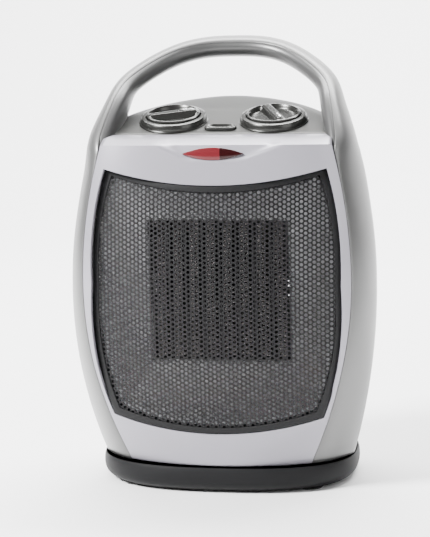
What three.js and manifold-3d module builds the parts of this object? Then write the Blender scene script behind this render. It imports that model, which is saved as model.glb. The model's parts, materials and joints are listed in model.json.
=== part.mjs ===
// Ceramic space heater with an integral carrying handle, on an oscillating base.
// Millimetres, +Z up, the front faces -Y. The origin is on the floor, on the axis that the body turns about.
import * as THREE from "three";
import { ParametricGeometry } from "three/addons/geometries/ParametricGeometry.js";
import { mergeVertices } from "three/addons/utils/BufferGeometryUtils.js";
import Module from "manifold-3d";

const MERGE = 0.00137; // vertices nearer than this are one

const wasm = await Module();
wasm.setup();

// ---- driving dimensions ----
const GAP = 0.4; // clearance between two fixed pieces
const RUN = 0.6; // clearance round a piece that moves
const WALL = 2.5; // moulded shell wall
const HALF_WIDTH = 92; // widest half width of the body
const WIDEST_Z = 120; // height of the widest section
const DOME_Z = 236; // top of the body under the handle
const HANDLE_Z = 272; // top of the handle
const ARCH_ACROSS = 2.7; // roundness of the silhouette across and up
const ARCH_UP = 2.25;
const BACK_ROUND = 2.2; // superellipse exponent of the back and of the dome
const SHOULDER_Z = 200; // the dome draws in above this, and the handle goes on up
const REAR_SEAM = 12; // depth of the seam between the side shell and the rear cover
const BODY_Z = 16.4; // lower rim of the body
const FRONT = 77; // reach of the front and of the back from the turning axis
const NOSE_Z = 130; // height of the foremost point
const NOSE_RADIUS = 513; // upright radius of the front
const SILL_Z = 205.5; // crease between the fascia and the panel's sill
const PANEL_Y = -49.5; // front edge of the control panel
const PANEL_Z = 211.5;
const PANEL_TILT_DEGREES = 19;
const PANEL_TILT = THREE.MathUtils.degToRad(PANEL_TILT_DEGREES);
const PANEL_HALF = 64; // half width of the panel's front edge
const PANEL_DEPTH = 68; // along the slope
const PANEL_THICK = 2.5;
const BEZEL_HALF = 78.8; // widest half width of the front bezel
const GRILLE_HALF = 73.4; // widest half width of the grille's opening
const GRILLE_TOP = 192; // corners of the grille's opening
const GRILLE_BOTTOM = 46;
const GRILLE_TOP_HALF = 65;
const GRILLE_BOTTOM_HALF = 62.5;
const GRILLE_SAG = 9.5; // how far the long edges of the opening curve down
const RIM = 4; // visible rim round the perforated sheet
const SHEET = 1.2; // grille sheet
const GRILLE_RADIUS = 218; // plan radius of the grille
const BASE_HALF_WIDTH = 79.5;
const BASE_HALF_DEPTH = 67;
const BASE_ROUND = 2.6; // superellipse exponent of the base's plan
const BASE_EDGE = 5; // how far the base's lower edge draws in
const BASE_TOP = 15.6;
const FOOT = 1.6; // height of the rubber feet under the base cover
const FLOOR_Z = 19; // underside of the body's floor plate
const FLOOR_THICK = 3;
const PIVOT_RADIUS = 13; // outer radius of the pivot tube
const WINDOW_HALF = 41; // heating element's opening
const WINDOW_HEIGHT = 86;
const WINDOW_Z = 118.8;
const WINDOW_Y = -47.7;
const ELEMENT_TILT = THREE.MathUtils.degToRad(11.8); // the element leans forward at its top
const ELEMENT_DEPTH = 15;
const ELEMENT_FRAME = 6;
const HEATER_BARS = 7;
const FAN_RADIUS = 42;
const FAN_Z = 119;
const FAN_Y = 8;
const KNOB_X = 30.3;
const KNOB_S = 22.5; // from the panel's front edge, along the slope
const KNOB_RADIUS = 16.2;
const COLLAR_RADIUS = 20.3;
const COLLAR_HEIGHT = 4.2;
const BUTTON_S = 9.2;
const BUTTON_HALF = 9.6;
const BUTTON_DEPTH = 3.6; // half of the button's size along the slope
const BUTTON_TRAVEL = 2;
const LENS_Z = 200.6;
const LENS_HALF = 17.8;
const LENS_RISE = 3.7;
const CRANK_RADIUS = 12;
const LINK_PIN = 24; // distance of the link's pin from the turning axis
const LINK_THICK = 2;
const PIN_RADIUS = 2.1; // the link's pin on the base
const CRANK_PIN_RADIUS = 1.6;
const CRANK_THICK = 3;
const SHAFT_RADIUS = 2; // fan shaft
const MOTOR_RADIUS = 25;
const MOTOR_X = 24; // the swing motor's shaft
const MOTOR_Y = 36;

// ---- materials ----
const paint = (color, roughness, metalness = 0) =>
  new THREE.MeshStandardMaterial({ color, roughness, metalness });
const SILVER = () => paint(0xa5a5a5, 0.35, 0.5);
const PEARL = () => paint(0xd6d3df, 0.35, 0.3);
const GUNMETAL = () => paint(0x57564f, 0.4, 0.5);
const BLACK = () => paint(0x1a1a1a, 0.5);
const STEEL = () => paint(0x9a9a9a, 0.4, 0.9);
const ALUMINIUM = () => paint(0xb8b8b8, 0.4, 0.8);
const CERAMIC = () => paint(0xcfc8bb, 0.7);
const RUBBER = () => paint(0x202020, 0.9);
const COPPER = () => paint(0xb06a3a, 0.4, 0.8);

const heater = new THREE.Group();

// ---- helpers ----
// A closed geometry as a solid: shared corners are merged and collapsed triangles dropped.
function solid(geometry) {
  geometry.deleteAttribute("normal");
  geometry.deleteAttribute("uv");
  const merged = mergeVertices(geometry, MERGE);
  const corners = merged.index.array;
  const kept = [];
  for (let i = 0; i < corners.length; i += 3) {
    const [a, b, c] = [corners[i], corners[i + 1], corners[i + 2]];
    if (a !== b && b !== c && c !== a) kept.push(a, b, c);
  }
  return new wasm.Manifold(
    new wasm.Mesh({
      numProp: 3,
      vertProperties: merged.attributes.position.array,
      triVerts: new Uint32Array(kept),
    }),
  );
}

function geometryOf(made) {
  const mesh = made.getMesh();
  const geometry = new THREE.BufferGeometry();
  geometry.setAttribute("position", new THREE.BufferAttribute(mesh.vertProperties, 3));
  geometry.setIndex(new THREE.BufferAttribute(mesh.triVerts, 1));
  return geometry;
}

function add(name, made, material, frame) {
  const mesh = new THREE.Mesh(geometryOf(made), material);
  mesh.name = name;
  if (frame) mesh.applyMatrix4(frame);
  heater.add(mesh);
}

function box(x0, x1, y0, y1, z0, z1) {
  const geometry = new THREE.BoxGeometry(x1 - x0, y1 - y0, z1 - z0);
  return solid(geometry.translate((x0 + x1) / 2, (y0 + y1) / 2, (z0 + z1) / 2));
}

// A flat shape in X and Y, raised from z0 to z1.
function slab(shape, z0, z1, curveSegments = 12) {
  const geometry = new THREE.ExtrudeGeometry(shape, { depth: z1 - z0, bevelEnabled: false, curveSegments });
  return solid(geometry.translate(0, 0, z0));
}

// A flat shape in X and Z, carried from y0 back to y1.
function wallOf(shape, y0, y1, curveSegments = 12) {
  const geometry = new THREE.ExtrudeGeometry(shape, { depth: y1 - y0, bevelEnabled: false, curveSegments });
  return solid(geometry.rotateX(Math.PI / 2).translate(0, y1, 0));
}

// A profile of [radius, height] points turned about Z; it starts and ends on the axis or closes on itself.
function turned(profile, x = 0, y = 0, sides = 24) {
  const points = profile.map(([r, z]) => new THREE.Vector2(r, z));
  return solid(new THREE.LatheGeometry(points, sides).rotateX(Math.PI / 2).translate(x, y, 0));
}

const disc = (r, z0, z1, x = 0, y = 0, sides = 24) =>
  turned([[0, z0], [r, z0], [r, z1], [0, z1]], x, y, sides);
const ring = (r0, r1, z0, z1, x = 0, y = 0, sides = 24) =>
  turned([[r0, z0], [r1, z0], [r1, z1], [r0, z1], [r0, z0]], x, y, sides);

// Turns a piece made along Z so that it lies along Y: its +Z end looks to the front.
function alongY(made, y, z) {
  return made.rotate([90, 0, 0]).translate([0, y, z]);
}

const power = (value, n) => Math.sign(value) * Math.pow(Math.abs(value), n);

// ---- the body's outer form ----
// Height of a point between the widest section and a top, as a share from 0 to 1.
const rise = (z, top) => Math.min(1, Math.max(0, (z - WIDEST_Z) / (top - WIDEST_Z)));
const lowerWidth = (z) => HALF_WIDTH - 12.5 * ((WIDEST_Z - z) / 96) ** 2;
// A superellipse arch is a little too full at the shoulders and too lean near the handle's top.
const bell = (z, at, spread) => Math.exp(-(((z - at) / spread) ** 2));
const archTrim = (z) => 3.4 * bell(z, 246, 13) - 1.4 * bell(z, 180, 32);
// The silhouette of body and handle: half width over height.
const hoopWidth = (z) =>
  z < WIDEST_Z
    ? lowerWidth(z)
    : HALF_WIDTH * Math.pow(1 - Math.pow(rise(z, HANDLE_Z), ARCH_UP), 1 / ARCH_ACROSS) + archTrim(z);
const shoulder = (z) => Math.min(1, Math.max(0, (z - SHOULDER_Z) / (DOME_Z - SHOULDER_Z)));
const domeWidth = (z) => hoopWidth(z) * Math.pow(1 - Math.pow(shoulder(z), BACK_ROUND), 1 / BACK_ROUND);
const frontAt = (z) => -FRONT + (z - NOSE_Z) ** 2 / (2 * NOSE_RADIUS);
const backAt = (z) =>
  z < 110
    ? FRONT - 11 * ((110 - z) / 94) ** 2
    : FRONT * Math.pow(Math.max(0, 1 - Math.pow((z - 110) / (DOME_Z - 110), 2.4)), 1 / 2.4);
// Depth of the widest line: it runs back towards the foot and towards the top.
const middleAt = (z) => -38 + 22 * ((z - 118) / 102) ** 2 * (z < 118 ? 1 : 0.5);
const squareness = (z) => 2 + 1.1 * Math.min(1, (z - BODY_Z) / 60) + 0.7 * rise(z, SILL_Z);

// Half width of the seam between the front and the side: past it the section turns more quickly.
const seamHalf = (z) =>
  z > 124
    ? BEZEL_HALF - 11 * ((z - 124) / 80) ** 2
    : BEZEL_HALF - 25.2 * Math.pow((124 - z) / 108, 1.9);
const SIDE_ROUND = 1.7; // superellipse exponent from the seam to the widest line
const quarter = (share, n) => Math.pow(Math.max(0, 1 - Math.pow(share, n)), 1 / n);

// A plan section of the body at height z, at angle turn, drawn in by inset.
function sectionPoint(z, turn, inset, target) {
  const width = Math.max(0, domeWidth(z) - inset);
  const middle = middleAt(z);
  const c = Math.cos(turn);
  const s = Math.sin(turn);
  const front = s < 0;
  const n = 2 / (front ? squareness(z) : BACK_ROUND);
  const depth = front ? middle - frontAt(z) : Math.max(0, backAt(z) - middle);
  const reach = Math.max(0, depth - inset);
  const x = width * power(c, n);
  let y = middle + reach * power(s, n);
  const seam = seamHalf(z) - inset;
  if (front && width > seam && Math.abs(x) > seam) {
    const seamDepth = reach * quarter(seam / width, squareness(z));
    y = middle - seamDepth * quarter((Math.abs(x) - seam) / (width - seam), SIDE_ROUND);
  }
  target.set(x, y, z);
}

// The closed body form from its rim to its dome; the end rows run in to a point.
function bodyForm(inset, z0, z1, around = 44, rows = 16) {
  const surface = (u, v, target) => {
    const row = v * rows;
    const level = Math.min(1, Math.max(0, (row - 1) / (rows - 2)));
    const z = z0 + (z1 - z0) * Math.sin((level * Math.PI) / 2);
    sectionPoint(z, u * 2 * Math.PI, inset, target);
    if (row < 0.5 || row > rows - 0.5) target.set(0, middleAt(z), z);
  };
  return solid(new ParametricGeometry(surface, around, rows));
}

// ---- outlines of the front, in X and Z ----
function barrelOutline(topHalf, top, half, bottomHalf, bottom, sagTop, sagBottom) {
  const middle = 124;
  const shape = new THREE.Shape();
  shape.moveTo(-bottomHalf, bottom);
  shape.quadraticCurveTo(0, bottom - 2 * sagBottom, bottomHalf, bottom);
  shape.quadraticCurveTo(half + 0.04 * (middle - bottom), (bottom + middle) / 2 - 4, half, middle);
  shape.quadraticCurveTo(half + 0.02 * (top - middle), (top + middle) / 2 + 4, topHalf, top);
  shape.quadraticCurveTo(0, top - 2 * sagTop, -topHalf, top);
  shape.quadraticCurveTo(-half - 0.02 * (top - middle), (top + middle) / 2 + 4, -half, middle);
  shape.quadraticCurveTo(-half - 0.04 * (middle - bottom), (bottom + middle) / 2 - 4, -bottomHalf, bottom);
  return shape;
}
const grilleOutline = (grow) =>
  barrelOutline(
    GRILLE_TOP_HALF + grow, GRILLE_TOP + grow, GRILLE_HALF + grow,
    GRILLE_BOTTOM_HALF + grow, GRILLE_BOTTOM - grow, GRILLE_SAG, GRILLE_SAG,
  );
const bezelOutline = (grow) =>
  barrelOutline(68 + grow, SILL_Z + 40, BEZEL_HALF + grow, 53.5 + grow, BODY_Z - 1, 0, 0);


// ---- the control panel's tilted frame: X across, Y up the slope, Z out of the panel ----
const panelFrame = new THREE.Matrix4()
  .makeRotationX(PANEL_TILT)
  .setPosition(0, PANEL_Y, PANEL_Z);
const onPanel = (made) => made.rotate([PANEL_TILT_DEGREES, 0, 0]).translate([0, PANEL_Y, PANEL_Z]);
function panelOutline(grow) {
  const shape = new THREE.Shape();
  const waist = PANEL_HALF - 9;
  shape.moveTo(-PANEL_HALF - grow, 0.4 - grow);
  shape.lineTo(PANEL_HALF + grow, 0.4 - grow);
  shape.lineTo(waist + grow, PANEL_DEPTH / 2);
  shape.quadraticCurveTo(waist * 0.6, PANEL_DEPTH * 0.93 + grow, 0, PANEL_DEPTH + grow);
  shape.quadraticCurveTo(-waist * 0.6, PANEL_DEPTH * 0.93 + grow, -waist - grow, PANEL_DEPTH / 2);
  shape.closePath();
  return shape;
}

// ---- base ----
// The base's plan outline, drawn in by inset.
function baseOutline(inset, points = 48) {
  const shape = new THREE.Shape();
  for (let i = 0; i < points; i++) {
    const turn = (i / points) * 2 * Math.PI;
    const x = (BASE_HALF_WIDTH - inset) * power(Math.cos(turn), 2 / BASE_ROUND);
    const y = (BASE_HALF_DEPTH - inset) * power(Math.sin(turn), 2 / BASE_ROUND);
    if (i) shape.lineTo(x, y);
    else shape.moveTo(x, y);
  }
  shape.closePath();
  return shape;
}

// The barrel-edged base: a stack of rows from the underside to the top.
function baseForm(inset, z0, z1) {
  const rows = 9;
  const surface = (u, v, target) => {
    const row = Math.round(v * rows);
    const level = Math.min(1, Math.max(0, (row - 1) / (rows - 2)));
    const turn = u * 2 * Math.PI;
    const z = z0 + (z1 - z0) * level;
    const edge = BASE_EDGE * Math.pow(1 - level, 3.2) + 0.9 * Math.pow(level, 6) + inset;
    const x = (BASE_HALF_WIDTH - edge) * power(Math.cos(turn), 2 / BASE_ROUND);
    const y = (BASE_HALF_DEPTH - edge) * power(Math.sin(turn), 2 / BASE_ROUND);
    if (row === 0 || row === rows) target.set(0, 0, z);
    else target.set(x, y, z);
  };
  return solid(new ParametricGeometry(surface, 48, rows));
}

const footX = BASE_HALF_WIDTH * 0.66;
const footY = BASE_HALF_DEPTH * 0.62;
const feet = [[-1, -1], [1, -1], [1, 1], [-1, 1]].map(([i, j]) => [i * footX, j * footY]);
const plungerX = 0;
const plungerY = -BASE_HALF_DEPTH * 0.55;
const plateTop = FOOT + WALL;
const glandZ = (FOOT + BASE_TOP) / 2 + 0.6;
const pivotTop = FLOOR_Z + FLOOR_THICK + 3.4;
const retainerZ = FLOOR_Z + FLOOR_THICK + GAP;
const linkZ = retainerZ + 1.6 + RUN;

const baseHollow = slab(baseOutline(BASE_EDGE + WALL), FOOT - 2, BASE_TOP - WALL);
const pivotTube = ring(PIVOT_RADIUS - WALL, PIVOT_RADIUS, BASE_TOP - 1, pivotTop);
const pivotBore = disc(PIVOT_RADIUS - WALL, FOOT - 2, pivotTop + 1);
const glandBore = alongY(disc(4.6, -BASE_HALF_DEPTH - 5, -BASE_HALF_DEPTH + 14, 0, 0, 20), 0, glandZ);
add(
  "base_cover",
  baseForm(0, FOOT, BASE_TOP).subtract(baseHollow).add(pivotTube).subtract(pivotBore)
    .add(disc(PIN_RADIUS, BASE_TOP - 1, linkZ + LINK_THICK + 1, LINK_PIN, 0, 16))
    .subtract(glandBore),
  BLACK(),
);
add(
  "base_plate",
  slab(baseOutline(BASE_EDGE + WALL + GAP), FOOT, plateTop)
    .subtract(disc(4 + RUN, FOOT - 1, plateTop + 1, plungerX, plungerY, 20)),
  BLACK(),
);
feet.forEach(([x, y], i) => {
  const pad = turned([[0, 0], [7, 0], [8, FOOT - GAP], [0, FOOT - GAP]], x, y, 24);
  add(`foot_${i + 1}`, pad, RUBBER());
});
add(
  "tilt_plunger",
  disc(4, 0, plateTop + 3.4, plungerX, plungerY, 20),
  BLACK(),
);
add(
  "tilt_switch",
  box(plungerX - 8, plungerX + 8, plungerY - 4, plungerY + 4, plateTop + 4, BASE_TOP - WALL - GAP),
  BLACK(),
);
add("bearing_ring", ring(38, 44, BASE_TOP + GAP, FLOOR_Z - GAP), STEEL());
add("retaining_ring", ring(PIVOT_RADIUS + 0.3, PIVOT_RADIUS + 5, retainerZ, retainerZ + 1.6), STEEL());
add(
  "cord_gland",
  alongY(ring(2.6, 4.2, -BASE_HALF_DEPTH - 3, -BASE_HALF_DEPTH + 8, 0, 0, 20), 0, glandZ),
  RUBBER(),
);

// ---- shells ----
const DECK = 150;
const aboveDeck = (depth) => onPanel(box(-DECK, DECK, -DECK, PANEL_DEPTH, depth, DECK));
const outerForm = bodyForm(0, BODY_Z, DOME_Z).subtract(aboveDeck(0));
const innerForm = bodyForm(WALL, BODY_Z - 3, DOME_Z - WALL).subtract(aboveDeck(-WALL));
const panelHole = onPanel(slab(panelOutline(GAP), -20, 20));
const shell = outerForm.subtract(innerForm).subtract(panelHole);

const bezelPrism = (grow) => wallOf(bezelOutline(grow), -DECK, PANEL_Y + grow);
const grilleHole = wallOf(grilleOutline(0), -DECK, 0);
function lensOutline(grow) {
  const half = LENS_HALF + grow;
  const steps = 16;
  const outline = [];
  for (let i = 0; i < 2 * steps; i++) {
    const along = i < steps ? -1 + (2 * i) / steps : 1 - (2 * (i - steps)) / steps;
    const lift = (i < steps ? -1 : 1) * (LENS_RISE + grow) * (1 - along ** 2);
    outline.push(new THREE.Vector2(half * along, LENS_Z + lift));
  }
  return new THREE.Shape(outline);
}
const lensHole = wallOf(lensOutline(GAP), -DECK, -60);
// ---- the handle: an arch from shoulder to shoulder ----
const ARCH_Z = SHOULDER_Z + 3;
const archPoints = [];
for (let i = 0; i <= 200; i++) {
  const angle = (i / 200) * Math.PI;
  const z = WIDEST_Z + (HANDLE_Z - WIDEST_Z) * power(Math.sin(angle), 2 / ARCH_UP);
  const plain = HALF_WIDTH * power(Math.cos(angle), 2 / ARCH_ACROSS);
  const x = plain + archTrim(z) * Math.tanh(plain / 20);
  if (z >= ARCH_Z) archPoints.push(new THREE.Vector3(x, 0, z));
}
const arch = new THREE.CatmullRomCurve3(archPoints);
const SECTION_STEPS = 7;
const HANDLE_WALL = 2;
const FOOT_CREASE_Y = -64; // the front crease runs back from the handle's feet to its top
const TOP_CREASE_Y = 12;
const FOOT_DEPTH = 58; // size of the section from front to back
const TOP_DEPTH = 28;
const FOOT_THICK = 18; // size of the section across
const TOP_THICK = 13.4;
const FOOT_CREASE_IN = 12.6; // how far in from the silhouette the crease is
const TOP_CREASE_IN = 5;

// One point of the handle's section. along runs from the crease to the back edge; side is 0 on the
// outer face and 1 on the inner one; into moves the point towards the middle of the section.
function handlePoint(share, along, side, into, target) {
  const at = arch.getPointAt(share);
  const tangent = arch.getTangentAt(share);
  const climb = (at.z - ARCH_Z) / (HANDLE_Z - ARCH_Z);
  const creaseY = FOOT_CREASE_Y + (TOP_CREASE_Y - FOOT_CREASE_Y) * Math.pow(climb, 1.4);
  const depth = FOOT_DEPTH - (FOOT_DEPTH - TOP_DEPTH) * THREE.MathUtils.smoothstep(climb * 1.2, 0, 1);
  const thick = FOOT_THICK - (FOOT_THICK - TOP_THICK) * THREE.MathUtils.smoothstep(climb * 1.6, 0, 1);
  const crease = TOP_CREASE_IN + (FOOT_CREASE_IN - TOP_CREASE_IN) * Math.pow(1 - climb, 2.2);
  const edge = THREE.MathUtils.lerp(crease, thick * 0.6, along);
  const bow = Math.pow(Math.sin(Math.PI * Math.pow(along, side ? 0.6 : 0.8)), 0.7);
  const inward = side ? edge + (thick - edge) * bow - into : edge * (1 - bow) + into;
  target.set(at.x - inward * tangent.z, creaseY + depth * along, at.z + inward * tangent.x);
}

// A thin half of the handle, as a loft of a closed section along the arch.
function handleHalf(side, from, to, rows = 28) {
  const around = 2 * SECTION_STEPS;
  const surface = (u, v, target) => {
    const row = Math.round(v * (rows + 2));
    const share = Math.min(1, Math.max(0, (row - 1) / rows));
    const step = Math.round((side ? 1 - u : u) * around) % around;
    const there = step < SECTION_STEPS;
    const k = there ? step : around - 1 - step;
    const along = from + (to - from) * (k / (SECTION_STEPS - 1));
    if (row === 0 || row === rows + 2) handlePoint(share, (from + to) / 2, side, HANDLE_WALL / 2, target);
    else handlePoint(share, along, side, there ? 0 : HANDLE_WALL, target);
  };
  return solid(new ParametricGeometry(surface, around, rows + 2));
}

// The whole section as one block, grown by the clearance that the shells keep to it.
function handleBlock(grow, rows = 28) {
  const around = 2 * SECTION_STEPS;
  const surface = (u, v, target) => {
    const row = Math.round(v * (rows + 2));
    const share = Math.min(1, Math.max(0, (row - 1) / rows));
    const step = Math.round(u * around) % around;
    const side = step < SECTION_STEPS ? 0 : 1;
    const k = side ? around - 1 - step : step;
    const along = (k + (side ? 0.12 : 0)) / (SECTION_STEPS - 1) * (side ? 0.96 : 1);
    if (row === 0 || row === rows + 2) {
      handlePoint(share, 0.5, 0, 8, target);
      return;
    }
    handlePoint(share, along, side, -grow, target);
    target.y += grow * (along - 0.5) * 2;
  };
  return solid(new ParametricGeometry(surface, around, rows + 2));
}

const LINER_EDGE = 0.08; // share of the section where the liner meets the outer moulding
const largest = (made) => made.decompose().reduce((a, b) => (b.volume() > a.volume() ? b : a));
const handleOuter = handleHalf(0, 0, 1);
const HANDLE_ROOM = 1.7; // clearance round the handle's faceted block
const handleRoom = handleBlock(HANDLE_ROOM);
add("handle", handleOuter, SILVER());
add(
  "handle_liner",
  largest(handleHalf(1, LINER_EDGE, 1 - LINER_EDGE).subtract(handleOuter).subtract(outerForm)),
  STEEL(),
);

const frontWall = shell.intersect(bezelPrism(0)).subtract(handleRoom);
add("front_bezel", largest(frontWall.subtract(grilleHole).subtract(lensHole)), PEARL());

const frontHalf = box(-DECK, DECK, -DECK, REAR_SEAM, 0, 2 * DECK);
const rearHalf = box(-DECK, DECK, REAR_SEAM + GAP, DECK, 0, 2 * DECK);
const sideWalls = shell.intersect(frontHalf).subtract(bezelPrism(GAP)).subtract(handleRoom);
for (const [name, from, to] of [["left", -DECK, -0.2], ["right", 0.2, DECK]]) {
  add(`side_shell_${name}`, largest(sideWalls.intersect(box(from, to, -DECK, DECK, 0, 2 * DECK))), SILVER());
}

// ---- rear cover, with its intake behind the fan ----
const INTAKE_RADIUS = 44;
const SLOT = 4;
const SLOT_PITCH = 9;
let rearCover = shell.intersect(rearHalf).subtract(handleRoom);
const intakeRows = Math.floor(INTAKE_RADIUS / SLOT_PITCH);
for (let row = -intakeRows; row <= intakeRows; row++) {
  const z = FAN_Z + row * SLOT_PITCH;
  const half = Math.sqrt(INTAKE_RADIUS ** 2 - (row * SLOT_PITCH) ** 2);
  rearCover = rearCover.subtract(box(-half, half, 40, DECK, z - SLOT / 2, z + SLOT / 2));
}
// Screws sunk in the cover.
const SCREW_X = 34;
const SCREW_Z = 188;
const SCREW_HEAD = 3.2;
const SCREW_SHANK = 1.5;
const SCREW_SUNK = 3;
const coverDepth = (x, z) => {
  const share = Math.pow(1 - Math.pow(x / domeWidth(z), BACK_ROUND), 1 / BACK_ROUND);
  return middleAt(z) + (backAt(z) - middleAt(z)) * share;
};
const backwards = (made, x, y, z) => made.rotate([-90, 0, 0]).translate([x, y, z]);
[-1, 1].forEach((side, i) => {
  const seat = coverDepth(SCREW_X, SCREW_Z) - SCREW_SUNK;
  const here = [side * SCREW_X, seat, SCREW_Z];
  const boss = backwards(disc(5.5, -2, 2.4, 0, 0, 20), ...here).intersect(outerForm);
  const headWell = disc(SCREW_HEAD + GAP, 0, 20, 0, 0, 20);
  const shankWell = disc(SCREW_SHANK + GAP, -20, 1, 0, 0, 16);
  rearCover = rearCover.add(boss).subtract(backwards(headWell.add(shankWell), ...here));
  const screw = disc(SCREW_HEAD, 0.3, 1.9, 0, 0, 20).add(disc(SCREW_SHANK, -9, 1, 0, 0, 12));
  add(`rear_screw_${i + 1}`, backwards(screw, ...here), STEEL());
});
add("rear_cover", largest(rearCover), SILVER());

// ---- floor plate of the body ----
const floorTop = FLOOR_Z + FLOOR_THICK;
const arcSlot = (x, y) => disc(PIN_RADIUS + 2 * RUN, FLOOR_Z - 1, floorTop + 1, x, y, 16);
let floor = bodyForm(WALL + GAP, BODY_Z - 3, DOME_Z - WALL)
  .intersect(box(-DECK, DECK, -DECK, DECK, FLOOR_Z, floorTop))
  .subtract(disc(PIVOT_RADIUS + GAP, FLOOR_Z - 1, floorTop + 1));
const SWING = 30; // degrees to each side
for (let angle = -SWING; angle < SWING; angle += 4) {
  const [a, b] = [angle, angle + 4].map((degrees) => THREE.MathUtils.degToRad(degrees));
  const start = arcSlot(LINK_PIN * Math.cos(a), LINK_PIN * Math.sin(a));
  const end = arcSlot(LINK_PIN * Math.cos(b), LINK_PIN * Math.sin(b));
  floor = floor.subtract(start.add(end).hull());
}
add("body_floor", floor, BLACK());

// ---- oscillation drive: motor on the floor, crank under it, link to the base's pin ----
const crankX = MOTOR_X;
const crankY = MOTOR_Y;
const crankZ = linkZ + LINK_THICK + 2.2;
const motorZ = crankZ + CRANK_THICK + RUN;
const linkEye = (x, y) => disc(5, linkZ, linkZ + LINK_THICK, x, y, 20);
const link = linkEye(LINK_PIN, 0).add(linkEye(crankX + CRANK_RADIUS, crankY)).hull()
  .subtract(disc(PIN_RADIUS + 0.3, linkZ - 1, linkZ + 5, LINK_PIN, 0, 16))
  .subtract(disc(CRANK_PIN_RADIUS + 0.3, linkZ - 1, linkZ + 5, crankX + CRANK_RADIUS, crankY, 16));
add("swing_link", link, STEEL());
add(
  "swing_crank",
  disc(CRANK_RADIUS + 4, crankZ, crankZ + CRANK_THICK, crankX, crankY)
    .add(disc(CRANK_PIN_RADIUS, linkZ + LINK_THICK + 0.5, crankZ + 1, crankX + CRANK_RADIUS, crankY, 16))
    .subtract(disc(3 + GAP, crankZ - 1, crankZ + CRANK_THICK + 1, crankX, crankY, 20)),
  BLACK(),
);
const MOTOR_HEIGHT = 15;
const postX = MOTOR_RADIUS + 6;
const motorPost = (x) => disc(3.2, floorTop + 0.3, motorZ, x, crankY, 16);
add(
  "swing_motor",
  disc(MOTOR_RADIUS, motorZ, motorZ + MOTOR_HEIGHT, crankX, crankY)
    .add(box(crankX - postX - 3, crankX + postX + 3, crankY - 4, crankY + 4, motorZ, motorZ + 2))
    .add(motorPost(crankX - postX)).add(motorPost(crankX + postX))
    .add(disc(3, crankZ + 0.3, motorZ + 1, crankX, crankY, 20)),
  STEEL(),
);

// ---- grille: a sheet curved both ways in a rim ----
function barrel(offset, thick) {
  const centreY = -FRONT + GRILLE_RADIUS;
  const rows = 12;
  const lowest = 26;
  const tall = 176;
  const profile = [];
  const radius = (z) => GRILLE_RADIUS - (z - NOSE_Z) ** 2 / (2 * NOSE_RADIUS) - offset;
  for (let i = 0; i <= rows; i++) {
    const z = lowest + (i * tall) / rows;
    profile.push([radius(z), z]);
  }
  const back = profile.map(([r, z]) => [r - thick, z]).reverse();
  return turned([...profile, ...back, profile[0]], 0, centreY, 96)
    .intersect(box(-DECK, DECK, -DECK, 0, 0, 2 * DECK));
}
const RIM_DEPTH = 4;
const rimForm = barrel(-0.6, RIM_DEPTH).intersect(wallOf(grilleOutline(-GAP), -DECK, 0));
add("grille_frame", rimForm.subtract(wallOf(grilleOutline(-RIM), -DECK, 0)), BLACK());
add("grille", barrel(0, SHEET).intersect(wallOf(grilleOutline(-RIM - 0.3), -DECK, 0)), BLACK());

// ---- heating element, leaning forward at its top ----
// Local frame: X across, Y back, Z up, centred on the window's front face.
const elementFrame = new THREE.Matrix4()
  .makeRotationX(ELEMENT_TILT)
  .setPosition(0, WINDOW_Y, WINDOW_Z);
const frameHalf = WINDOW_HALF + ELEMENT_FRAME;
const frameTall = WINDOW_HEIGHT / 2 + ELEMENT_FRAME;
add(
  "element_frame",
  box(-frameHalf, frameHalf, 0, ELEMENT_DEPTH, -frameTall, frameTall)
    .subtract(box(-WINDOW_HALF, WINDOW_HALF, -1, ELEMENT_DEPTH + 1, -WINDOW_HEIGHT / 2, WINDOW_HEIGHT / 2)),
  BLACK(),
  elementFrame,
);
const BAR_WIDTH = 2.4;
const barPitch = (2 * WINDOW_HALF) / (HEATER_BARS + 1);
const barTall = WINDOW_HEIGHT / 2 - GAP;
const finFront = 1.5;
const finBack = ELEMENT_DEPTH - 2;
for (let i = 1; i <= HEATER_BARS; i++) {
  const x = -WINDOW_HALF + i * barPitch;
  const bar = box(x - BAR_WIDTH / 2, x + BAR_WIDTH / 2, finFront, finBack, -barTall, barTall);
  add(`heater_bar_${i}`, bar, CERAMIC(), elementFrame);
}
const FIN_FOLDS = 9;
const FIN_SHEET = 0.5;
for (let i = 0; i <= HEATER_BARS; i++) {
  const left = -WINDOW_HALF + i * barPitch + BAR_WIDTH / 2 + GAP;
  const right = left + barPitch - BAR_WIDTH - 2 * GAP;
  const fold = (2 * (barTall - 1)) / FIN_FOLDS;
  let pack = box(left, right, finBack - 1.5, finBack - 0.9, -barTall + 0.5, barTall - 0.5);
  for (let k = 0; k <= FIN_FOLDS; k++) {
    const z = -barTall + 1 + k * fold;
    pack = pack.add(box(left, right, finFront + 0.5, finBack - 1, z - FIN_SHEET / 2, z + FIN_SHEET / 2));
  }
  add(`fin_pack_${i + 1}`, pack, ALUMINIUM(), elementFrame);
}
const cutout = box(-9, 9, ELEMENT_DEPTH + GAP, ELEMENT_DEPTH + 6, frameTall - 5, frameTall);
add("thermal_cutout", cutout, BLACK(), elementFrame);

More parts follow.
